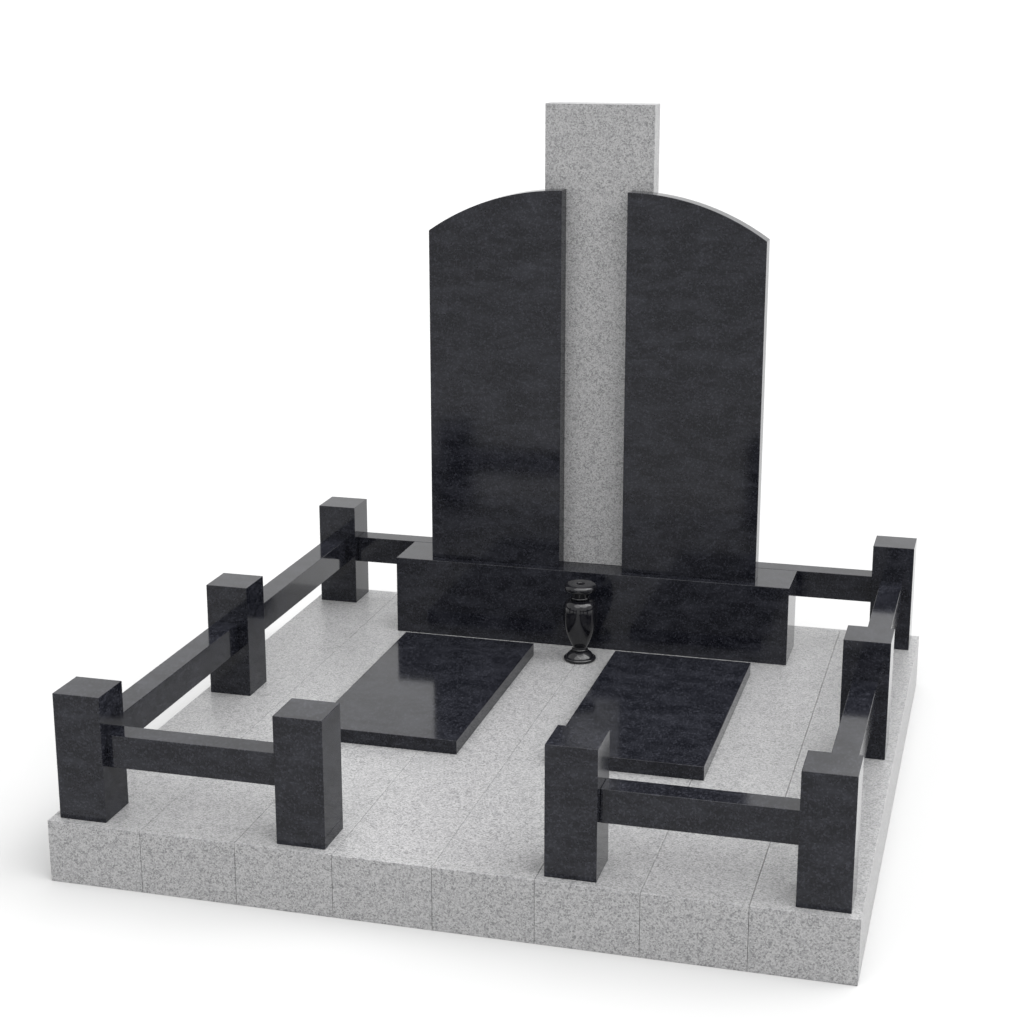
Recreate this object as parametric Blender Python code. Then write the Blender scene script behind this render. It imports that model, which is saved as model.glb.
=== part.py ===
"""A double grave memorial: two polished black granite steles in front of a light grey granite column,
with two ledger slabs, a turned flower vase and a low fence, on a base of light grey granite strips.

Metres, +Z up, +Y to the back. The origin is the middle of the base's underside.
"""

import math

import bmesh
import bpy

# Fitting and finish
STONE_GAP = 0.0003
ARRIS = 0.002
SHARP_ANGLE = math.radians(30)

# Base, laid as strips side by side
BASE_WIDTH = 2.400
BASE_DEPTH = 2.400
STRIP_COUNT = 8
STRIP_JOINT = 0.001
BASE_HEIGHT = 0.196

# Fence posts
POST_SIDE = 0.150
POST_HEIGHT = 0.396
POST_INSET = 0.028
GATE_OPENING = 0.650
GATE_SHIFT = -0.004

# Fence rails
RAIL_THICKNESS = 0.080
RAIL_HEIGHT = 0.101
RAIL_LIFT = 0.166

# Steles
STELE_WIDTH = 0.500
STELE_THICKNESS = 0.072
STELE_OUTER_HEIGHT = 1.246
STELE_RISE = 0.157
STELE_SPACING = 0.240
ARC_STEPS = 24

# Column behind the steles
COLUMN_WIDTH = 0.400
COLUMN_DEPTH = 0.090
COLUMN_HEIGHT = 1.704

# Plinth under the steles and the column
PLINTH_HEIGHT = 0.295
PLINTH_END_MARGIN = 0.130
PLINTH_FRONT_MARGIN = 0.045
PLINTH_BACK_MARGIN = 0.020
PLINTH_TO_BASE_BACK = 0.238

# Ledger slabs
SLAB_WIDTH = 0.500
SLAB_LENGTH = 0.992
SLAB_THICKNESS = 0.047
SLAB_SPACING = 0.309
SLAB_TO_PLINTH = 0.136
SLAB_SHIFT = -0.016

# Flower vase: heights are stacked from the foot up
VASE_TO_PLINTH = 0.074
VASE_SHIFT = 0.005
VASE_FOOT_RADIUS = 0.060
VASE_FOOT_EDGE = 0.007
VASE_FOOT_STEP = 0.001
VASE_FOOT_DOME_HEIGHT = 0.022
VASE_FOOT_DOME_FULLNESS = 1.3
VASE_STEM_RADIUS = 0.0255
VASE_STEM_BEAD = 0.0045
VASE_STEM_HEIGHT = 0.014
VASE_BODY_RADIUS = 0.0625
VASE_TAPER_HEIGHT = 0.115
VASE_SHOULDER_HEIGHT = 0.069
VASE_SHOULDER_FULLNESS = 3.2
VASE_NECK_RADIUS = 0.029
VASE_NECK_BEAD = 0.006
VASE_NECK_HEIGHT = 0.031
VASE_CAP_RADIUS = 0.0605
VASE_CAP_EDGE = 0.0145
VASE_BORE_RADIUS = 0.0135
VASE_BORE_DEPTH = 0.200
VASE_SIDES = 32
VASE_CURVE_STEPS = 8
VASE_MERGE = 0.00005

# Places that follow from the sizes
STRIP_WIDTH = (BASE_WIDTH - (STRIP_COUNT - 1) * STRIP_JOINT) / STRIP_COUNT
POST_X = BASE_WIDTH / 2 - POST_INSET - POST_SIDE / 2
POST_Y = BASE_DEPTH / 2 - POST_INSET - POST_SIDE / 2
GATE_LEFT_X = GATE_SHIFT - (GATE_OPENING + POST_SIDE) / 2
GATE_RIGHT_X = GATE_SHIFT + (GATE_OPENING + POST_SIDE) / 2
RAIL_BOTTOM = BASE_HEIGHT + RAIL_LIFT
PLINTH_WIDTH = 2 * STELE_WIDTH + STELE_SPACING + 2 * PLINTH_END_MARGIN
PLINTH_DEPTH = PLINTH_FRONT_MARGIN + STELE_THICKNESS + COLUMN_DEPTH + PLINTH_BACK_MARGIN
PLINTH_BACK = BASE_DEPTH / 2 - PLINTH_TO_BASE_BACK
PLINTH_FRONT = PLINTH_BACK - PLINTH_DEPTH
PLINTH_TOP = BASE_HEIGHT + PLINTH_HEIGHT
STELE_X = (STELE_SPACING + STELE_WIDTH) / 2
STELE_FRONT = PLINTH_FRONT + PLINTH_FRONT_MARGIN
STELE_BACK = STELE_FRONT + STELE_THICKNESS
SLAB_X = (SLAB_SPACING + SLAB_WIDTH) / 2
SLAB_BACK = PLINTH_FRONT - SLAB_TO_PLINTH
VASE_Y = PLINTH_FRONT - VASE_TO_PLINTH - VASE_FOOT_RADIUS


def clear_scene():
    for item in list(bpy.data.objects):
        bpy.data.objects.remove(item, do_unlink=True)


def stone(name, colour, roughness):
    material = bpy.data.materials.new(name)
    material.use_nodes = True
    shader = material.node_tree.nodes["Principled BSDF"]
    shader.inputs["Base Color"].default_value = (*colour, 1.0)
    shader.inputs["Roughness"].default_value = roughness
    shader.inputs["Metallic"].default_value = 0.0
    material.diffuse_color = (*colour, 1.0)
    return material


def add_object(name, mesh, location, material):
    piece = bpy.data.objects.new(name, mesh)
    piece.location = location
    mesh.materials.append(material)
    bpy.context.scene.collection.objects.link(piece)
    return piece


def add_arris(piece):
    """Takes the sharp edge off every corner of a sawn stone."""
    bevel = piece.modifiers.new("arris", "BEVEL")
    bevel.width = ARRIS
    bevel.segments = 1
    bevel.limit_method = "ANGLE"
    bevel.angle_limit = SHARP_ANGLE


def mesh_from(bm, name):
    bmesh.ops.recalc_face_normals(bm, faces=bm.faces)
    mesh = bpy.data.meshes.new(name)
    bm.to_mesh(mesh)
    bm.free()
    return mesh


def add_block(name, size, foot, material):
    """A sawn block of the given size, standing with the middle of its underside at foot."""
    bm = bmesh.new()
    bmesh.ops.create_cube(bm, size=1.0)
    bmesh.ops.translate(bm, verts=bm.verts, vec=(0, 0, 0.5))
    bmesh.ops.scale(bm, verts=bm.verts, vec=size)
    add_arris(add_object(name, mesh_from(bm, name), foot, material))


def add_base(material):
    """The strips lie side by side, each as long as the base is deep."""
    size = (STRIP_WIDTH, BASE_DEPTH, BASE_HEIGHT)
    for index in range(STRIP_COUNT):
        middle = (STRIP_WIDTH - BASE_WIDTH) / 2 + index * (STRIP_WIDTH + STRIP_JOINT)
        add_block(f"base_strip_{index + 1}", size, (middle, 0, 0), material)


def add_posts(material):
    """Four posts along the front, the inner two beside the gateway, and two along each side."""
    places = {
        "front_left": (-POST_X, -POST_Y),
        "gate_left": (GATE_LEFT_X, -POST_Y),
        "gate_right": (GATE_RIGHT_X, -POST_Y),
        "front_right": (POST_X, -POST_Y),
        "middle_left": (-POST_X, 0),
        "middle_right": (POST_X, 0),
        "back_left": (-POST_X, POST_Y),
        "back_right": (POST_X, POST_Y),
    }
    size = (POST_SIDE, POST_SIDE, POST_HEIGHT)
    for name, (x, y) in places.items():
        add_block(f"post_{name}", size, (x, y, BASE_HEIGHT + STONE_GAP), material)


def add_rail_along_x(name, start, end, y, material):
    """A rail between the facing sides of two posts, whose middles are at start and end."""
    length = end - start - POST_SIDE - 2 * STONE_GAP
    size = (length, RAIL_THICKNESS, RAIL_HEIGHT)
    add_block(name, size, ((start + end) / 2, y, RAIL_BOTTOM), material)


def add_rail_along_y(name, start, end, x, material):
    length = end - start - POST_SIDE - 2 * STONE_GAP
    size = (RAIL_THICKNESS, length, RAIL_HEIGHT)
    add_block(name, size, (x, (start + end) / 2, RAIL_BOTTOM), material)


def add_rails(material):
    """Every rail is centred on its posts. The gateway has none, and one long rail closes the back."""
    add_rail_along_x("rail_front_left", -POST_X, GATE_LEFT_X, -POST_Y, material)
    add_rail_along_x("rail_front_right", GATE_RIGHT_X, POST_X, -POST_Y, material)
    add_rail_along_x("rail_back", -POST_X, POST_X, POST_Y, material)
    for side, x in (("left", -POST_X), ("right", POST_X)):
        add_rail_along_y(f"rail_{side}_front", -POST_Y, 0, x, material)
        add_rail_along_y(f"rail_{side}_back", 0, POST_Y, x, material)


def add_plinth(material):
    middle = (PLINTH_FRONT + PLINTH_BACK) / 2
    size = (PLINTH_WIDTH, PLINTH_DEPTH, PLINTH_HEIGHT)
    add_block("plinth", size, (0, middle, BASE_HEIGHT + STONE_GAP), material)


def stele_outline(side):
    """Points of the front face, feet first, for side -1 on the left or 1 on the right.

    The top is one arc of a circle that is level at the inner edge and falls to the outer edge.
    """
    radius = (STELE_WIDTH**2 + STELE_RISE**2) / (2 * STELE_RISE)
    sweep = math.asin(STELE_WIDTH / radius)
    peak = STELE_OUTER_HEIGHT + STELE_RISE
    points = [(0.0, 0.0), (STELE_WIDTH, 0.0)]
    for step in range(ARC_STEPS + 1):
        angle = sweep * (1 - step / ARC_STEPS)
        points.append((radius * math.sin(angle), peak - radius * (1 - math.cos(angle))))
    return [(side * (x - STELE_WIDTH / 2), z) for x, z in points]


def add_stele(name, side, material):
    bm = bmesh.new()
    corners = [bm.verts.new((x, 0, z)) for x, z in stele_outline(side)]
    face = bm.faces.new(corners)
    extruded = bmesh.ops.extrude_face_region(bm, geom=[face])
    moved = [item for item in extruded["geom"] if isinstance(item, bmesh.types.BMVert)]
    bmesh.ops.translate(bm, verts=moved, vec=(0, STELE_THICKNESS, 0))
    place = (side * STELE_X, STELE_FRONT, PLINTH_TOP + 2 * STONE_GAP)
    add_arris(add_object(name, mesh_from(bm, name), place, material))


def add_column(material):
    """The column stands right behind the steles and shows between them and above them."""
    middle = STELE_BACK + STONE_GAP + COLUMN_DEPTH / 2
    size = (COLUMN_WIDTH, COLUMN_DEPTH, COLUMN_HEIGHT)
    add_block("column", size, (0, middle, PLINTH_TOP + 2 * STONE_GAP), material)


def add_slabs(material):
    """The two slabs lie flat in front of the plinth, a little to the left of the base's middle."""
    size = (SLAB_WIDTH, SLAB_LENGTH, SLAB_THICKNESS)
    for name, side in (("left", -1), ("right", 1)):
        foot = (SLAB_SHIFT + side * SLAB_X, SLAB_BACK - SLAB_LENGTH / 2, BASE_HEIGHT + STONE_GAP)
        add_block(f"ledger_slab_{name}", size, foot, material)


def half_round(centre, radius):
    """Points of a half circle that bulges outwards, from its lowest to its highest."""
    points = []
    for step in range(VASE_CURVE_STEPS + 1):
        angle = math.pi * (step / VASE_CURVE_STEPS - 0.5)
        points.append((centre[0] + radius * math.cos(angle), centre[1] + radius * math.sin(angle)))
    return points


def shoulder(centre, width, height, fullness=2.0):
    """Points from the side up to the top. Fullness 1 gives a line, 2 an ellipse, and more squares it up."""
    points = []
    for step in range(VASE_CURVE_STEPS + 1):
        angle = math.pi / 2 * step / VASE_CURVE_STEPS
        across = max(math.cos(angle), 0.0) ** (2 / fullness)
        up = math.sin(angle) ** (2 / fullness)
        points.append((centre[0] + width * across, centre[1] + height * up))
    return points


def vase_foot():
    """Rounded foot edge, a shallow step, the domed foot and the small bead under the body."""
    edge_centre = VASE_FOOT_RADIUS - VASE_FOOT_EDGE
    points = half_round((edge_centre, VASE_FOOT_EDGE), VASE_FOOT_EDGE)
    dome_bottom = 2 * VASE_FOOT_EDGE
    dome_top = dome_bottom + VASE_FOOT_DOME_HEIGHT
    dome_inside = VASE_STEM_RADIUS + VASE_STEM_BEAD
    dome_width = edge_centre - VASE_FOOT_STEP - dome_inside
    points += shoulder((dome_inside, dome_bottom), dome_width, VASE_FOOT_DOME_HEIGHT, VASE_FOOT_DOME_FULLNESS)
    points += half_round((VASE_STEM_RADIUS, dome_top + VASE_STEM_BEAD), VASE_STEM_BEAD)
    return points, dome_top + VASE_STEM_HEIGHT


def vase_body(bottom):
    """The body swells from the stem in a quarter of a sine wave, then rounds over to the neck."""
    points = []
    for step in range(VASE_CURVE_STEPS):
        share = step / VASE_CURVE_STEPS
        swell = math.sin(share * math.pi / 2)
        radius = VASE_STEM_RADIUS + (VASE_BODY_RADIUS - VASE_STEM_RADIUS) * swell
        points.append((radius, bottom + share * VASE_TAPER_HEIGHT))
    widest = bottom + VASE_TAPER_HEIGHT
    width = VASE_BODY_RADIUS - VASE_NECK_RADIUS
    points += shoulder((VASE_NECK_RADIUS, widest), width, VASE_SHOULDER_HEIGHT, VASE_SHOULDER_FULLNESS)
    return points, widest + VASE_SHOULDER_HEIGHT


def vase_neck_and_cap(bottom):
    """A short neck with one bead, then the cap, whose edge is a half round."""
    points = half_round((VASE_NECK_RADIUS, bottom + VASE_NECK_BEAD), VASE_NECK_BEAD)
    underside = bottom + VASE_NECK_HEIGHT
    points.append((VASE_NECK_RADIUS, underside))
    points += half_round((VASE_CAP_RADIUS - VASE_CAP_EDGE, underside + VASE_CAP_EDGE), VASE_CAP_EDGE)
    return points, underside + 2 * VASE_CAP_EDGE


def vase_profile():
    """Half section from the middle of the underside, up the outside and down into the bore."""
    foot, foot_top = vase_foot()
    body, body_top = vase_body(foot_top)
    head, top = vase_neck_and_cap(body_top)
    floor = top - VASE_BORE_DEPTH
    bore = [(VASE_BORE_RADIUS, top), (VASE_BORE_RADIUS, floor), (0.0, floor)]
    return [(0.0, 0.0)] + foot + body + head + bore


def add_vase(material):
    bm = bmesh.new()
    section = [bm.verts.new((radius, 0, height)) for radius, height in vase_profile()]
    edges = [bm.edges.new(pair) for pair in zip(section, section[1:])]
    bmesh.ops.spin(bm, geom=section + edges, axis=(0, 0, 1), cent=(0, 0, 0), angle=math.tau, steps=VASE_SIDES)
    bmesh.ops.remove_doubles(bm, verts=bm.verts, dist=VASE_MERGE)
    mesh = mesh_from(bm, "flower_vase")
    mesh.shade_smooth()
    mesh.set_sharp_from_angle(angle=SHARP_ANGLE)
    add_object("flower_vase", mesh, (VASE_SHIFT, VASE_Y, BASE_HEIGHT + STONE_GAP), material)


def main():
    clear_scene()
    grey_granite = stone("light_grey_granite", (0.36, 0.36, 0.36), 0.45)
    black_granite = stone("polished_black_granite", (0.012, 0.012, 0.013), 0.06)
    add_base(grey_granite)
    add_posts(black_granite)
    add_rails(black_granite)
    add_plinth(black_granite)
    add_stele("stele_left", -1, black_granite)
    add_stele("stele_right", 1, black_granite)
    add_column(grey_granite)
    add_slabs(black_granite)
    add_vase(black_granite)


main()
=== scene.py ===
"""The looks of a double grave memorial in polished black granite and light grey granite.

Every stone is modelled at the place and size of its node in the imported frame. Metres, +Z up.
"""

import math

import bmesh
import bpy
from bpy.props import FloatProperty, FloatVectorProperty, IntProperty, PointerProperty
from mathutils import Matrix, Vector


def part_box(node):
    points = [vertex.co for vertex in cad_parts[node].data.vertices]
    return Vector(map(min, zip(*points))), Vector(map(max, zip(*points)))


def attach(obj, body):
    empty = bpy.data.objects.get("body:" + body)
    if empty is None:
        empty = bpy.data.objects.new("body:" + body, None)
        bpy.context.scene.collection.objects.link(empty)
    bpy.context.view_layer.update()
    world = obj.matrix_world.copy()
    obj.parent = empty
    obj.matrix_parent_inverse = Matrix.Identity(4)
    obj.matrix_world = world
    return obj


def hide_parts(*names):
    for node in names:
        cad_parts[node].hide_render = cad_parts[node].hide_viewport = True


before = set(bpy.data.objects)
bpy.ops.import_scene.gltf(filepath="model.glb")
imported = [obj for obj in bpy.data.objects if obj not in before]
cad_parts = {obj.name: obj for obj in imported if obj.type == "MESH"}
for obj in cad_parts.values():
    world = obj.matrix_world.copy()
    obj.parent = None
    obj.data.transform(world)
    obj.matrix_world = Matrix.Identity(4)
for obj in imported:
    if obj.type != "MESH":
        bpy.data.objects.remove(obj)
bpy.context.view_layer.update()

bl_info = {
    "name": "Double Grave Memorial",
    "version": (1, 0, 0),
    "blender": (4, 5, 0),
    "location": "View3D > Sidebar > Memorial",
    "description": "Models the stones of a double grave memorial and gives them their polished finish",
    "category": "Add Mesh",
}

BODY = "root"
BLACK_FINISH = "Polished black granite"
VASE_FINISH = "Turned black granite"
GREY_FINISH = "Satin light grey granite"
SMOOTH_ANGLE = math.radians(45)
MERGE_DISTANCE = 0.00001
# Side of the plane that is merged to the first point of a turned section.
START_PLANE = 0.01
# The floor lies this far below the underside of the base, so that the two never share a plane.
FLOOR_GAP = 0.0005
# In millimetres.
SENSOR_WIDTH = 36.0
WHITE = (1.0, 1.0, 1.0, 1.0)


def box_of(node):
    low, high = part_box(node)
    return Vector(low), Vector(high)


def middle_of(node):
    low, high = box_of(node)
    return (low + high) / 2


def size_of(node):
    low, high = box_of(node)
    return high - low


def nodes_named(start):
    return sorted(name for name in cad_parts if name.startswith(start))


def linear_rgb(code):
    """Turns an sRGB hex colour into the linear values that the shaders read."""
    shares = [int(code[place:place + 2], 16) / 255 for place in (1, 3, 5)]
    return tuple(s / 12.92 if s <= 0.04045 else ((s + 0.055) / 1.055) ** 2.4 for s in shares)


# Settings

class StoneworkSettings(bpy.types.PropertyGroup):
    """How the mason worked the edges of the stones."""

    polished_arris: FloatProperty(
        name="Polished arris", description="Radius of the rounded edges of the black stones",
        default=0.0015, min=0.0002, unit="LENGTH", precision=4)
    sawn_arris: FloatProperty(
        name="Sawn arris", description="Radius of the edges of the grey stones",
        default=0.001, min=0.0002, unit="LENGTH", precision=4)
    arris_steps: IntProperty(
        name="Arris steps", description="Facets across each rounded edge", default=4, min=1)
    stele_rise: FloatProperty(
        name="Stele rise", description="How much higher a stele is at its inner edge than at its outer edge",
        default=0.157, min=0.01, unit="LENGTH")
    arch_steps: IntProperty(
        name="Arch steps", description="Cuts along the curved top of a stele", default=63, min=3)


class VaseSettings(bpy.types.PropertyGroup):
    """The turned profile of the flower vase, with heights that stack from the foot up."""

    foot_radius: FloatProperty(
        name="Foot radius", description="Outer radius of the foot", default=0.060, unit="LENGTH")
    foot_edge: FloatProperty(
        name="Foot edge", description="Radius of the half round around the foot",
        default=0.007, unit="LENGTH")
    foot_step: FloatProperty(
        name="Foot step", description="Width of the flat step inside the foot's edge",
        default=0.001, unit="LENGTH")
    dome_height: FloatProperty(
        name="Foot dome", description="Height of the domed part of the foot", default=0.022, unit="LENGTH")
    dome_fullness: FloatProperty(
        name="Foot dome fullness", description="1 gives a cone, 2 a round dome", default=1.3, min=1.0)
    stem_radius: FloatProperty(
        name="Stem radius", description="Radius where the body meets the foot", default=0.0255, unit="LENGTH")
    stem_bead: FloatProperty(
        name="Stem bead", description="Radius of the small bead under the body",
        default=0.0045, unit="LENGTH")
    stem_height: FloatProperty(
        name="Stem height", description="Height of the stem with its bead", default=0.014, unit="LENGTH")
    body_radius: FloatProperty(
        name="Body radius", description="Largest radius of the body",
        default=size_of("flower_vase").x / 2, unit="LENGTH")
    taper_height: FloatProperty(
        name="Taper height", description="Height from the stem to the widest place",
        default=0.115, unit="LENGTH")
    shoulder_height: FloatProperty(
        name="Shoulder height", description="Height from the widest place to the neck",
        default=0.069, unit="LENGTH")
    shoulder_fullness: FloatProperty(
        name="Shoulder fullness", description="2 gives an ellipse, more squares the shoulder up", default=3.2)
    neck_radius: FloatProperty(
        name="Neck radius", description="Radius of the neck", default=0.029, unit="LENGTH")
    neck_bead: FloatProperty(
        name="Neck bead", description="Radius of the bead around the neck", default=0.006, unit="LENGTH")
    neck_height: FloatProperty(
        name="Neck height", description="Height from the shoulder to the cap", default=0.031, unit="LENGTH")
    cap_radius: FloatProperty(
        name="Cap radius", description="Outer radius of the cap", default=0.0605, unit="LENGTH")
    cap_edge: FloatProperty(
        name="Cap edge", description="Radius of the half round around the cap", default=0.0145, unit="LENGTH")
    bore_radius: FloatProperty(
        name="Bore radius", description="Radius of the hole for the stems", default=0.0135, unit="LENGTH")
    bore_edge: FloatProperty(
        name="Bore edge", description="Radius of the rounded edge of the hole", default=0.004, unit="LENGTH")
    bore_depth: FloatProperty(
        name="Bore depth", description="Depth of the hole for the stems", default=0.200, unit="LENGTH")
    sides: IntProperty(name="Sides", description="Facets around the vase", default=96, min=12)
    curve_steps: IntProperty(
        name="Curve steps", description="Facets along each curve of the profile", default=16, min=4)


class GraniteSettings(bpy.types.PropertyGroup):
    """Colours and grain of the two granites."""

    black_body: FloatVectorProperty(
        name="Black body", description="Ground mass of the black granite",
        default=linear_rgb("#0B0C11"), subtype="COLOR", min=0.0, max=1.0)
    black_crystal: FloatVectorProperty(
        name="Black crystal", description="Lighter crystals in the black granite",
        default=linear_rgb("#3A3B42"), subtype="COLOR", min=0.0, max=1.0)
    black_grain: FloatProperty(
        name="Black grain", description="Width of the crystals in the black granite",
        default=0.0045, unit="LENGTH", precision=4)
    black_crystal_strength: FloatProperty(
        name="Black crystal strength", description="How far the brightest crystals show through the black",
        default=0.38, subtype="FACTOR")
    black_wisp: FloatProperty(
        name="Black wisps", description="Width of the faint wisps in the black granite",
        default=0.045, unit="LENGTH")
    black_wisp_strength: FloatProperty(
        name="Black wisp strength", description="How far a wisp lifts the black towards the crystals",
        default=0.26, subtype="FACTOR")
    black_bed_angle: FloatProperty(
        name="Bed angle", description="Slope of the wisps on an upright face",
        default=math.radians(22), subtype="ANGLE", unit="ROTATION")
    black_roughness: FloatProperty(
        name="Black roughness", description="Roughness of the mirror polish", default=0.1, subtype="FACTOR")
    black_ior: FloatProperty(
        name="Black index", description="Refractive index that sets how much the polish reflects",
        default=1.345)
    feldspar: FloatVectorProperty(
        name="Feldspar", description="Pale grains of the grey granite",
        default=linear_rgb("#909090"), subtype="COLOR", min=0.0, max=1.0)
    quartz: FloatVectorProperty(
        name="Quartz", description="Middle grey grains of the grey granite",
        default=linear_rgb("#7F7F80"), subtype="COLOR", min=0.0, max=1.0)
    biotite: FloatVectorProperty(
        name="Biotite", description="Dark mica flecks of the grey granite",
        default=linear_rgb("#656566"), subtype="COLOR", min=0.0, max=1.0)
    grey_grain: FloatProperty(
        name="Grey grain", description="Width of the grains in the grey granite",
        default=0.0043, unit="LENGTH", precision=4)
    grey_patch: FloatProperty(
        name="Grey patches", description="Width of the slightly paler and darker patches",
        default=0.03, unit="LENGTH")
    grey_patch_strength: FloatProperty(
        name="Grey patch strength", description="How far a patch shifts the mix of its grains",
        default=0.1, subtype="FACTOR")
    grey_fleck: FloatProperty(
        name="Grey fleck", description="Width of the small mica flecks in the grey granite",
        default=0.003, unit="LENGTH", precision=4)
    grey_fleck_strength: FloatProperty(
        name="Grey fleck strength", description="How dark the small mica flecks are",
        default=0.75, subtype="FACTOR")
    grey_roughness: FloatProperty(
        name="Grey roughness", description="Roughness of the satin polish", default=0.35, subtype="FACTOR")
    grey_ior: FloatProperty(
        name="Grey index", description="Refractive index that sets how much the satin reflects", default=1.46)
    vase_body: FloatVectorProperty(
        name="Vase black", description="Colour of the turned black granite",
        default=linear_rgb("#08080B"), subtype="COLOR", min=0.0, max=1.0)
    vase_crystal: FloatVectorProperty(
        name="Vase crystal", description="Lighter crystals in the turned black granite",
        default=linear_rgb("#141418"), subtype="COLOR", min=0.0, max=1.0)
    vase_roughness: FloatProperty(
        name="Vase roughness", description="Roughness of the turned and waxed polish", default=0.08,
        subtype="FACTOR")
    vase_ior: FloatProperty(
        name="Vase index", description="Refractive index that sets how much the vase reflects", default=1.46)


class StageSettings(bpy.types.PropertyGroup):
    """The plain studio around the memorial."""

    floor_colour: FloatVectorProperty(
        name="Floor colour", description="Colour of the plain floor",
        default=linear_rgb("#ABABAB"), subtype="COLOR", min=0.0, max=1.0)
    floor_size: FloatProperty(
        name="Floor size", description="Side of the square floor", default=1400.0, unit="LENGTH")
    surround: FloatProperty(
        name="Surround", description="Brightness of the even white surroundings", default=1.0)
    front_count: IntProperty(
        name="Front lights", description="Number of soft lights around the front", default=3, min=0)
    front_strength: FloatProperty(
        name="Front strength", description="Strength of each front light", default=1.2)
    front_turn: FloatProperty(
        name="Front turn", description="Turn of the first front light from the gateway to the right",
        default=math.radians(-10), subtype="ANGLE", unit="ROTATION")
    front_spacing: FloatProperty(
        name="Front spacing", description="Turn from one front light to the next",
        default=math.radians(57), subtype="ANGLE", unit="ROTATION")
    front_tilt: FloatProperty(
        name="Front tilt", description="How far the front lights lean away from overhead",
        default=math.radians(44), subtype="ANGLE", unit="ROTATION")
    front_width: FloatProperty(
        name="Front width", description="How wide each front light looks from the memorial",
        default=math.radians(46), subtype="ANGLE", unit="ROTATION")
    top_strength: FloatProperty(
        name="Top strength", description="Strength of the broad light above", default=2.5)
    top_turn: FloatProperty(
        name="Top turn", description="Turn of the top light from the gateway to the right",
        default=math.radians(90), subtype="ANGLE", unit="ROTATION")
    top_tilt: FloatProperty(
        name="Top tilt", description="How far the top light leans away from overhead",
        default=math.radians(22), subtype="ANGLE", unit="ROTATION")
    top_width: FloatProperty(
        name="Top width", description="How wide the top light looks from the memorial",
        default=math.radians(80), subtype="ANGLE", unit="ROTATION")
    side_strength: FloatProperty(
        name="Side strength", description="Strength of the broad light to the right", default=0.8)
    side_turn: FloatProperty(
        name="Side turn", description="Turn of the side light from the gateway to the right",
        default=math.radians(142), subtype="ANGLE", unit="ROTATION")
    side_tilt: FloatProperty(
        name="Side tilt", description="How far the side light leans away from overhead",
        default=math.radians(48), subtype="ANGLE", unit="ROTATION")
    side_width: FloatProperty(
        name="Side width", description="How wide the side light looks from the memorial",
        default=math.radians(80), subtype="ANGLE", unit="ROTATION")
    camera_place: FloatVectorProperty(
        name="Camera place", description="Where the photograph was taken from",
        default=(1.5145, -5.8856, 2.5808), subtype="TRANSLATION", unit="LENGTH")
    camera_turn: FloatProperty(
        name="Camera turn", description="Turn of the camera to the left",
        default=math.radians(15.26), subtype="ANGLE", unit="ROTATION")
    camera_dip: FloatProperty(
        name="Camera dip", description="How far the camera looks down",
        default=math.radians(15.29), subtype="ANGLE", unit="ROTATION")
    camera_lens: FloatProperty(
        name="Camera lens", description="Focal length on the 36 mm wide sensor", default=66.94,
        unit="CAMERA")


class MemorialSettings(bpy.types.PropertyGroup):
    """All settings of the memorial."""

    stonework: PointerProperty(type=StoneworkSettings)
    vase: PointerProperty(type=VaseSettings)
    granite: PointerProperty(type=GraniteSettings)
    stage: PointerProperty(type=StageSettings)


# Materials

def add_node(tree, kind, inputs=None, stops=None, **settings):
    """Adds a shader node with its settings.

    inputs gives each socket a value, or the output that feeds it. stops are the places and colours of a ramp.
    """
    added = tree.nodes.new(f"ShaderNode{kind}")
    for name, value in settings.items():
        setattr(added, name, value)
    for socket, value in (inputs or {}).items():
        if isinstance(value, bpy.types.NodeSocket):
            tree.links.new(value, added.inputs[socket])
        else:
            added.inputs[socket].default_value = value
    for index, (place, colour) in enumerate(stops or []):
        ramp = added.color_ramp.elements
        stop = ramp[index] if index < len(ramp) else ramp.new(place)
        stop.position = place
        stop.color = (*colour, 1.0)
    return added


def new_material(name):
    """A material that holds only its Principled shader and its output."""
    material = bpy.data.materials.new(name)
    material.use_nodes = True
    tree = material.node_tree
    tree.nodes.clear()
    shader = add_node(tree, "BsdfPrincipled")
    add_node(tree, "OutputMaterial", {"Surface": shader.outputs["BSDF"]})
    return material, tree, shader


# A scale below 1 draws a pattern out along that axis.
WISP_STRETCH = (0.4, 0.6, 1.0)
CRYSTAL_STRETCH = (1.0, 0.55, 1.0)
# Values of the noise where a wisp starts to show, and where it shows in full.
WISP_STARTS = 0.42
WISP_FULL = 0.72
# The higher this power is, the fewer crystals are bright.
CRYSTAL_RARITY = 4.0


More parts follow.
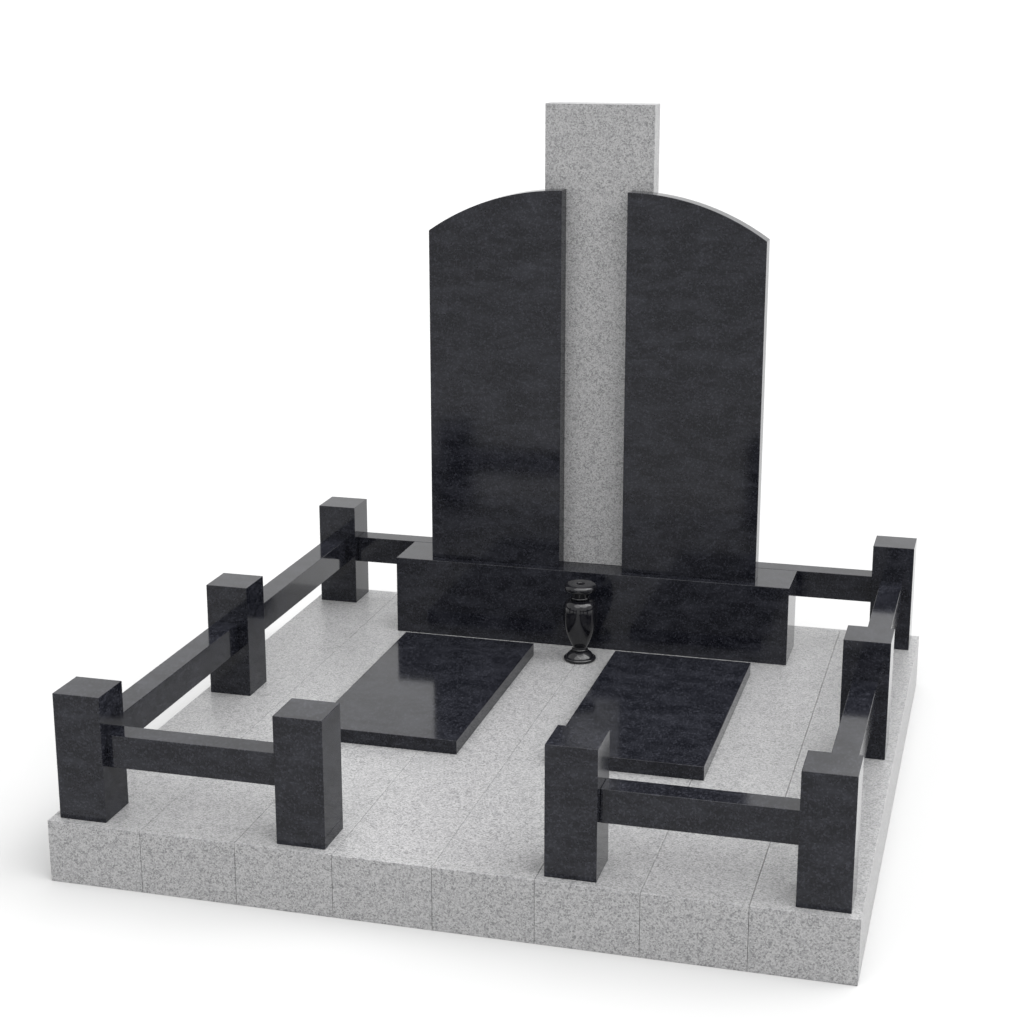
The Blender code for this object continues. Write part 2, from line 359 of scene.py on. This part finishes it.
def polished_black_granite(name, look):
    """Black gabbro, diamond polished to a mirror.

    Near black with a cool tint. Up close it shows tight crystals under the polish, drawn out along the
    stone's depth, and from further away faint wisps that lie along its bed. It reflects like dark glass,
    most where the eye skims it. Real crystals are about 2 mm wide, too fine to show from the camera, so
    they are drawn about twice as coarse.
    """
    material, tree, shader = new_material(name)
    place = add_node(tree, "TexCoord").outputs["Object"]
    bed = add_node(tree, "Mapping", {
        "Vector": place, "Rotation": (0.0, look.black_bed_angle, 0.0), "Scale": WISP_STRETCH})
    wisps = add_node(tree, "TexNoise", {
        "Vector": bed.outputs["Vector"], "Scale": 1 / look.black_wisp, "Detail": 5.0, "Roughness": 0.7,
        "Distortion": 0.2})
    wisp_share = add_node(tree, "MapRange", {
        "Value": wisps.outputs["Fac"], "From Min": WISP_STARTS, "From Max": WISP_FULL,
        "To Max": look.black_wisp_strength})
    drawn_out = add_node(tree, "Mapping", {"Vector": place, "Scale": CRYSTAL_STRETCH})
    crystals = add_node(tree, "TexVoronoi", {
        "Vector": drawn_out.outputs["Vector"], "Scale": 1 / look.black_grain})
    crystal_tone = add_node(tree, "SeparateColor", {"Color": crystals.outputs["Color"]})
    crystal_share = add_node(tree, "Math", {
        0: crystal_tone.outputs["Red"], 1: CRYSTAL_RARITY}, operation="POWER")
    lift = add_node(tree, "Math", {
        0: crystal_share.outputs["Value"], 1: look.black_crystal_strength, 2: wisp_share.outputs["Result"]},
        operation="MULTIPLY_ADD")
    colour = add_node(tree, "Mix", {
        "Factor": lift.outputs["Value"], "A": (*look.black_body, 1.0),
        "B": (*look.black_crystal, 1.0)}, data_type="RGBA")
    tree.links.new(colour.outputs["Result"], shader.inputs["Base Color"])
    shader.inputs["Roughness"].default_value = look.black_roughness
    shader.inputs["IOR"].default_value = look.black_ior
    return material


def turned_black_granite(name, look):
    """Fine black gabbro of the turned vase, waxed to a deeper gloss than the flat stones.

    Neutral black with hardly any grain to see. Its round forms pick up the lights as long bright bands.
    """
    material, tree, shader = new_material(name)
    place = add_node(tree, "TexCoord").outputs["Object"]
    crystals = add_node(tree, "TexVoronoi", {"Vector": place, "Scale": 1 / look.black_grain})
    crystal_tone = add_node(tree, "SeparateColor", {"Color": crystals.outputs["Color"]})
    colour = add_node(tree, "Mix", {
        "Factor": crystal_tone.outputs["Red"], "A": (*look.vase_body, 1.0), "B": (*look.vase_crystal, 1.0)},
        data_type="RGBA")
    tree.links.new(colour.outputs["Result"], shader.inputs["Base Color"])
    shader.inputs["Roughness"].default_value = look.vase_roughness
    shader.inputs["IOR"].default_value = look.vase_ior
    return material


# Shares of the grains, from the darkest up, where one mineral ends and the next one starts.
BIOTITE_ENDS = 0.1
QUARTZ_STARTS = 0.16
QUARTZ_ENDS = 0.5
FELDSPAR_STARTS = 0.62
# Shares of the small cells above which a mica fleck starts to show, and shows in full.
FLECK_STARTS = 0.82
FLECK_FULL = 0.9
# Values of the noise that give the darkest and the palest patch.
PATCH_DARKEST = 0.3
PATCH_PALEST = 0.7


def satin_grey_granite(name, look):
    """Light grey granite with a satin polish.

    Pale feldspar and glassy quartz with small mica flecks give a fine salt and pepper that blurs to an even
    grey from a few steps away. It has a soft sheen that grows as the eye skims it, and no clear reflections.
    Real grains are 2 to 4 mm wide, and they are drawn at the coarse end of that, so that they show.
    """
    material, tree, shader = new_material(name)
    place = add_node(tree, "TexCoord").outputs["Object"]
    ripple = add_node(tree, "TexNoise", {"Vector": place, "Scale": 1 / look.grey_grain, "Detail": 2.0})
    ripple_shift = add_node(tree, "VectorMath", {
        0: ripple.outputs["Color"], 1: (0.5, 0.5, 0.5)}, operation="SUBTRACT")
    grain_place = add_node(tree, "VectorMath", {
        0: ripple_shift.outputs["Vector"], 1: (look.grey_grain,) * 3, 2: place}, operation="MULTIPLY_ADD")
    grains = add_node(tree, "TexVoronoi", {
        "Vector": grain_place.outputs["Vector"], "Scale": 1 / look.grey_grain})
    grain_tone = add_node(tree, "SeparateColor", {"Color": grains.outputs["Color"]})
    patches = add_node(tree, "TexNoise", {"Vector": place, "Scale": 1 / look.grey_patch, "Detail": 3.0})
    patch_shift = add_node(tree, "MapRange", {
        "Value": patches.outputs["Fac"], "From Min": PATCH_DARKEST, "From Max": PATCH_PALEST,
        "To Min": -look.grey_patch_strength, "To Max": look.grey_patch_strength})
    mineral = add_node(tree, "Math", {
        0: grain_tone.outputs["Red"], 1: patch_shift.outputs["Result"]}, operation="ADD")
    colour = add_node(tree, "ValToRGB", {"Fac": mineral.outputs["Value"]}, stops=[
        (0.0, look.biotite), (BIOTITE_ENDS, look.biotite), (QUARTZ_STARTS, look.quartz),
        (QUARTZ_ENDS, look.quartz), (FELDSPAR_STARTS, look.feldspar)])
    flecks = add_node(tree, "TexVoronoi", {"Vector": place, "Scale": 1 / look.grey_fleck})
    fleck_tone = add_node(tree, "SeparateColor", {"Color": flecks.outputs["Color"]})
    fleck_share = add_node(tree, "MapRange", {
        "Value": fleck_tone.outputs["Red"], "From Min": FLECK_STARTS, "From Max": FLECK_FULL,
        "To Max": look.grey_fleck_strength})
    speckled = add_node(tree, "Mix", {
        "Factor": fleck_share.outputs["Result"], "A": colour.outputs["Color"], "B": (*look.biotite, 1.0)},
        data_type="RGBA")
    tree.links.new(speckled.outputs["Result"], shader.inputs["Base Color"])
    shader.inputs["Roughness"].default_value = look.grey_roughness
    shader.inputs["IOR"].default_value = look.grey_ior
    return material


def painted_floor(stage):
    """Matt pale studio floor, plain all over, with only the soft contact shade of the base on it."""
    material, _, shader = new_material("Matt floor paint")
    shader.inputs["Base Color"].default_value = (*stage.floor_colour, 1.0)
    shader.inputs["Roughness"].default_value = 0.9
    shader.inputs["Specular IOR Level"].default_value = 0.0
    return material


def shared_material(name, make, look):
    """Finds a material by its name, or makes it for the first stone that asks for it."""
    return bpy.data.materials.get(name) or make(name, look)


# Modelling

def open_for_edit(piece):
    """Opens one piece in edit mode with nothing selected in it."""
    bpy.ops.object.select_all(action="DESELECT")
    piece.select_set(True)
    bpy.context.view_layer.objects.active = piece
    bpy.ops.object.mode_set(mode="EDIT")
    bpy.ops.mesh.select_all(action="DESELECT")


def close_edit():
    bpy.ops.object.mode_set(mode="OBJECT")


def select_points(piece, wanted):
    """Selects the points of the open piece whose place passes the test."""
    mesh = bmesh.from_edit_mesh(piece.data)
    for point in mesh.verts:
        point.select = wanted(point.co)
    mesh.select_flush(True)
    bmesh.update_edit_mesh(piece.data)


def add_block(name, low, high):
    """A cube added at the stone's place and stretched to its size, with the place kept in its mesh."""
    bpy.ops.object.select_all(action="DESELECT")
    bpy.ops.mesh.primitive_cube_add(size=1.0, location=(low + high) / 2)
    piece = bpy.context.active_object
    piece.name = name
    piece.scale = high - low
    bpy.ops.object.transform_apply(location=True, rotation=True, scale=True)
    return piece


def round_arrises(piece, radius, steps):
    """Rounds every sharp edge, then leaves the faces flat and the edges smooth to the light."""
    open_for_edit(piece)
    bpy.ops.mesh.select_mode(type="EDGE")
    bpy.ops.mesh.edges_select_sharp(sharpness=SMOOTH_ANGLE)
    bpy.ops.mesh.bevel(offset=radius, segments=steps, profile=0.5, affect="EDGES")
    close_edit()
    smooth_surface(piece)


def smooth_surface(piece):
    bpy.ops.object.shade_smooth_by_angle(angle=SMOOTH_ANGLE)
    bpy.ops.object.modifier_add(type="WEIGHTED_NORMAL")
    bpy.ops.object.modifier_apply(modifier=piece.modifiers[-1].name)


def copy_piece(piece, name, shift):
    """A copy with a mesh of its own, moved within that mesh."""
    bpy.ops.object.select_all(action="DESELECT")
    piece.select_set(True)
    bpy.context.view_layer.objects.active = piece
    bpy.ops.object.duplicate(linked=False)
    copy = bpy.context.active_object
    copy.name = name
    open_for_edit(copy)
    bpy.ops.mesh.select_all(action="SELECT")
    bpy.ops.transform.translate(value=shift)
    close_edit()
    return copy


def set_stone(piece, node, material):
    """Puts a finished stone in its node's place, with its finish."""
    piece.data.materials.clear()
    piece.data.materials.append(material)
    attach(piece, BODY)
    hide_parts(node)


def set_like_blocks(nodes, radius, steps, material):
    """Models one block and copies it to every node of the same size."""
    low, high = box_of(nodes[0])
    first = add_block(f"{nodes[0]}_stone", low, high)
    round_arrises(first, radius, steps)
    set_stone(first, nodes[0], material)
    for node in nodes[1:]:
        copy = copy_piece(first, f"{node}_stone", middle_of(node) - middle_of(nodes[0]))
        set_stone(copy, node, material)


def set_black_blocks(settings, nodes):
    work = settings.stonework
    black = shared_material(BLACK_FINISH, polished_black_granite, settings.granite)
    set_like_blocks(nodes, work.polished_arris, work.arris_steps, black)


def set_grey_blocks(settings, nodes):
    work = settings.stonework
    grey = shared_material(GREY_FINISH, satin_grey_granite, settings.granite)
    set_like_blocks(nodes, work.sawn_arris, work.arris_steps, grey)


class MEMORIAL_OT_base(bpy.types.Operator):
    """Lays the grey granite strips of the base side by side"""

    bl_idname = "memorial.base"
    bl_label = "Base strips"

    def execute(self, context):
        set_grey_blocks(context.scene.memorial, nodes_named("base_strip"))
        return {"FINISHED"}


class MEMORIAL_OT_posts(bpy.types.Operator):
    """Sets the black granite posts of the fence"""

    bl_idname = "memorial.posts"
    bl_label = "Fence posts"

    def execute(self, context):
        set_black_blocks(context.scene.memorial, nodes_named("post_"))
        return {"FINISHED"}


class MEMORIAL_OT_rails(bpy.types.Operator):
    """Fits the black granite rails between the posts"""

    bl_idname = "memorial.rails"
    bl_label = "Fence rails"

    def execute(self, context):
        side_rails = nodes_named("rail_left") + nodes_named("rail_right")
        for group in (["rail_front_left"], ["rail_front_right"], side_rails, ["rail_back"]):
            set_black_blocks(context.scene.memorial, group)
        return {"FINISHED"}


class MEMORIAL_OT_plinth(bpy.types.Operator):
    """Sets the black granite plinth at the back of the base"""

    bl_idname = "memorial.plinth"
    bl_label = "Plinth"

    def execute(self, context):
        set_black_blocks(context.scene.memorial, ["plinth"])
        return {"FINISHED"}


class MEMORIAL_OT_column(bpy.types.Operator):
    """Sets the grey granite column behind the steles"""

    bl_idname = "memorial.column"
    bl_label = "Column"

    def execute(self, context):
        set_grey_blocks(context.scene.memorial, ["column"])
        return {"FINISHED"}


class MEMORIAL_OT_ledger_slabs(bpy.types.Operator):
    """Lays the two black granite slabs on the base"""

    bl_idname = "memorial.ledger_slabs"
    bl_label = "Ledger slabs"

    def execute(self, context):
        set_black_blocks(context.scene.memorial, nodes_named("ledger_slab"))
        return {"FINISHED"}


class MEMORIAL_OT_steles(bpy.types.Operator):
    """Cuts the two arched steles, the left one as the mirror image of the right one"""

    bl_idname = "memorial.steles"
    bl_label = "Steles"

    def execute(self, context):
        settings = context.scene.memorial
        work = settings.stonework
        black = shared_material(BLACK_FINISH, polished_black_granite, settings.granite)
        right = self.cut_stele("stele_right", work)
        left = copy_piece(right, "stele_left_stone", (0, 0, 0))
        open_for_edit(left)
        bpy.ops.mesh.select_all(action="SELECT")
        bpy.ops.transform.mirror(constraint_axis=(True, False, False), orient_type="GLOBAL",
                                 center_override=(0, 0, 0))
        bpy.ops.mesh.normals_make_consistent(inside=False)
        close_edit()
        smooth_surface(left)
        set_stone(right, "stele_right", black)
        set_stone(left, "stele_left", black)
        return {"FINISHED"}

    def cut_stele(self, node, work):
        """Cuts the block's top into narrow strips and lowers each cut onto the arc."""
        low, high = box_of(node)
        piece = add_block(f"{node}_stone", low, high)
        open_for_edit(piece)
        bpy.ops.mesh.select_mode(type="EDGE")
        mesh = bmesh.from_edit_mesh(piece.data)
        for edge in mesh.edges:
            across, upright = (edge.verts[0].co - edge.verts[1].co).xz
            at_top = min(point.co.z for point in edge.verts) > (low.z + high.z) / 2
            edge.select = at_top and abs(across) > abs(upright)
        bmesh.update_edit_mesh(piece.data)
        bpy.ops.mesh.subdivide(number_cuts=work.arch_steps)
        bpy.ops.mesh.select_mode(type="VERT")
        width = high.x - low.x
        radius = (width**2 + work.stele_rise**2) / (2 * work.stele_rise)
        spacing = width / (work.arch_steps + 1)
        for cut in range(1, work.arch_steps + 2):
            outwards = cut * spacing
            select_points(piece, lambda co: co.z > high.z - MERGE_DISTANCE
                          and abs(co.x - low.x - outwards) < spacing / 4)
            fall = radius - math.sqrt(radius**2 - outwards**2)
            bpy.ops.transform.translate(value=(0, 0, -fall))
        close_edit()
        round_arrises(piece, work.polished_arris, work.arris_steps)
        return piece


class MEMORIAL_OT_vase(bpy.types.Operator):
    """Turns the flower vase from its half section"""

    bl_idname = "memorial.vase"
    bl_label = "Flower vase"

    def execute(self, context):
        settings = context.scene.memorial
        vase = settings.vase
        foot = middle_of("flower_vase")
        foot.z = box_of("flower_vase")[0].z
        piece = self.draw_section("flower_vase_stone", foot, vase_section(vase))
        bpy.ops.mesh.select_all(action="SELECT")
        bpy.ops.mesh.spin(steps=vase.sides, angle=math.tau, center=foot, axis=(0, 0, 1))
        bpy.ops.mesh.select_all(action="SELECT")
        bpy.ops.mesh.remove_doubles(threshold=MERGE_DISTANCE)
        bpy.ops.mesh.normals_make_consistent(inside=False)
        close_edit()
        bpy.ops.object.shade_smooth_by_angle(angle=SMOOTH_ANGLE)
        black = shared_material(VASE_FINISH, turned_black_granite, settings.granite)
        set_stone(piece, "flower_vase", black)
        return {"FINISHED"}

    def draw_section(self, name, foot, section):
        """Merges a small plane to one point on the axis and extrudes it along the half section."""
        bpy.ops.object.select_all(action="DESELECT")
        bpy.ops.mesh.primitive_plane_add(size=START_PLANE, location=foot)
        piece = bpy.context.active_object
        piece.name = name
        bpy.ops.object.transform_apply(location=True, rotation=True, scale=True)
        open_for_edit(piece)
        bpy.ops.mesh.select_mode(type="VERT")
        bpy.ops.mesh.select_all(action="SELECT")
        bpy.ops.mesh.merge(type="CENTER")
        for (radius, height), (next_radius, next_height) in zip(section, section[1:]):
            step = (next_radius - radius, 0, next_height - height)
            bpy.ops.mesh.extrude_vertices_move(TRANSFORM_OT_translate={"value": step})
        return piece


def half_round(centre, radius, steps):
    """Points of a half circle that bulges outwards, from its lowest to its highest."""
    points = []
    for step in range(steps + 1):
        angle = math.pi * (step / steps - 0.5)
        points.append((centre[0] + radius * math.cos(angle), centre[1] + radius * math.sin(angle)))
    return points


def shoulder(centre, width, height, steps, fullness=2.0):
    """Points from the side up to the top. Fullness 1 gives a line, 2 an ellipse, and more squares it up."""
    points = []
    for step in range(steps + 1):
        angle = math.pi / 2 * step / steps
        across = max(math.cos(angle), 0.0) ** (2 / fullness)
        up = math.sin(angle) ** (2 / fullness)
        points.append((centre[0] + width * across, centre[1] + height * up))
    return points


def foot_points(vase):
    """The half round rim of the foot, the dome on it and the bead under the body."""
    steps = vase.curve_steps
    rim_centre = vase.foot_radius - vase.foot_edge
    rim = half_round((rim_centre, vase.foot_edge), vase.foot_edge, steps)
    dome_bottom = 2 * vase.foot_edge
    dome_top = dome_bottom + vase.dome_height
    dome_inside = vase.stem_radius + vase.stem_bead
    dome_width = rim_centre - vase.foot_step - dome_inside
    dome = shoulder((dome_inside, dome_bottom), dome_width, vase.dome_height, steps, vase.dome_fullness)
    bead = half_round((vase.stem_radius, dome_top + vase.stem_bead), vase.stem_bead, steps)
    return rim + dome + bead


def body_points(vase, bottom):
    """The body, which swells from the stem to its widest place and rounds in to the neck."""
    steps = vase.curve_steps
    taper = []
    for step in range(steps):
        share = step / steps
        swell = math.sin(share * math.pi / 2)
        radius = vase.stem_radius + (vase.body_radius - vase.stem_radius) * swell
        taper.append((radius, bottom + share * vase.taper_height))
    widest = (vase.neck_radius, bottom + vase.taper_height)
    width = vase.body_radius - vase.neck_radius
    return taper + shoulder(widest, width, vase.shoulder_height, steps, vase.shoulder_fullness)


def neck_points(vase, bottom, underside):
    """The bead around the foot of the neck, the plain neck and the half round cap."""
    steps = vase.curve_steps
    bead = half_round((vase.neck_radius, bottom + vase.neck_bead), vase.neck_bead, steps)
    cap = half_round((vase.cap_radius - vase.cap_edge, underside + vase.cap_edge), vase.cap_edge, steps)
    return bead + [(vase.neck_radius, underside)] + cap


def bore_points(vase, top):
    """The rounded mouth of the bore, its wall and its floor."""
    steps = vase.curve_steps
    mouth = []
    for step in range(steps + 1):
        angle = math.pi / 2 * step / steps
        across = vase.bore_edge * (1 - math.sin(angle))
        mouth.append((vase.bore_radius + across, top - vase.bore_edge * (1 - math.cos(angle))))
    floor = top - vase.bore_depth
    return mouth + [(vase.bore_radius, floor), (0.0, floor)]


def vase_section(vase):
    """Half section from the middle of the underside, up the outside and down into the bore."""
    body_bottom = 2 * vase.foot_edge + vase.dome_height + vase.stem_height
    neck_bottom = body_bottom + vase.taper_height + vase.shoulder_height
    underside = neck_bottom + vase.neck_height
    top = underside + 2 * vase.cap_edge
    outside = foot_points(vase) + body_points(vase, body_bottom) + neck_points(vase, neck_bottom, underside)
    return [(0.0, 0.0)] + outside + bore_points(vase, top)


class MEMORIAL_OT_stage(bpy.types.Operator):
    """Sets up the plain floor, the soft light and the camera"""

    bl_idname = "memorial.stage"
    bl_label = "Studio stage"

    def execute(self, context):
        stage = context.scene.memorial.stage
        self.lay_floor(stage)
        self.light_surroundings(context.scene, stage)
        for number in range(stage.front_count):
            turn = stage.front_turn + number * stage.front_spacing
            self.hang_light("front_light", stage.front_strength, turn, stage.front_tilt, stage.front_width)
        self.hang_light("top_light", stage.top_strength, stage.top_turn, stage.top_tilt, stage.top_width)
        self.hang_light("side_light", stage.side_strength, stage.side_turn, stage.side_tilt, stage.side_width)
        self.place_camera(context.scene, stage)
        return {"FINISHED"}

    def lay_floor(self, stage):
        bpy.ops.object.select_all(action="DESELECT")
        bpy.ops.mesh.primitive_plane_add(size=stage.floor_size, location=(0, 0, -FLOOR_GAP))
        floor = bpy.context.active_object
        floor.name = "studio_floor"
        floor.data.materials.append(painted_floor(stage))

    def light_surroundings(self, scene, stage):
        world = bpy.data.worlds.new("White surroundings")
        world.use_nodes = True
        background = world.node_tree.nodes["Background"]
        background.inputs["Color"].default_value = WHITE
        background.inputs["Strength"].default_value = stage.surround
        scene.world = world
        scene.view_settings.view_transform = "Standard"

    def hang_light(self, name, strength, turn, tilt, width):
        bpy.ops.object.light_add(type="SUN", rotation=(tilt, 0, turn))
        light = bpy.context.active_object
        light.name = name
        light.data.energy = strength
        light.data.angle = width

    def place_camera(self, scene, stage):
        turn = (math.pi / 2 - stage.camera_dip, 0, stage.camera_turn)
        bpy.ops.object.camera_add(location=stage.camera_place, rotation=turn)
        camera = bpy.context.active_object
        camera.name = "photo_camera"
        camera.data.lens = stage.camera_lens
        camera.data.sensor_width = SENSOR_WIDTH
        camera.data.clip_end = 2 * stage.floor_size
        scene.camera = camera


# Panel and registration

class MEMORIAL_PT_panel(bpy.types.Panel):
    """Lists the memorial's operators and settings"""

    bl_idname = "MEMORIAL_PT_panel"
    bl_label = "Double Grave Memorial"
    bl_space_type = "VIEW_3D"
    bl_region_type = "UI"
    bl_category = "Memorial"

    def draw(self, context):
        layout = self.layout
        for operator in OPERATORS:
            layout.operator(operator.bl_idname)
        settings = context.scene.memorial
        for group in (settings.stonework, settings.vase, settings.granite, settings.stage):
            box = layout.box()
            for name in group.__annotations__:
                box.prop(group, name)


OPERATORS = (
    MEMORIAL_OT_base,
    MEMORIAL_OT_posts,
    MEMORIAL_OT_rails,
    MEMORIAL_OT_plinth,
    MEMORIAL_OT_steles,
    MEMORIAL_OT_column,
    MEMORIAL_OT_ledger_slabs,
    MEMORIAL_OT_vase,
    MEMORIAL_OT_stage,
)
SETTINGS = (StoneworkSettings, VaseSettings, GraniteSettings, StageSettings, MemorialSettings)
CLASSES = SETTINGS + OPERATORS + (MEMORIAL_PT_panel,)


def register():
    for item in CLASSES:
        bpy.utils.register_class(item)
    bpy.types.Scene.memorial = PointerProperty(type=MemorialSettings)


def unregister():
    del bpy.types.Scene.memorial
    for item in reversed(CLASSES):
        bpy.utils.unregister_class(item)


def main():
    register()
    bpy.ops.memorial.base()
    bpy.ops.memorial.posts()
    bpy.ops.memorial.rails()
    bpy.ops.memorial.plinth()
    bpy.ops.memorial.steles()
    bpy.ops.memorial.column()
    bpy.ops.memorial.ledger_slabs()
    bpy.ops.memorial.vase()
    bpy.ops.memorial.stage()


if __name__ == "__main__":
    main()
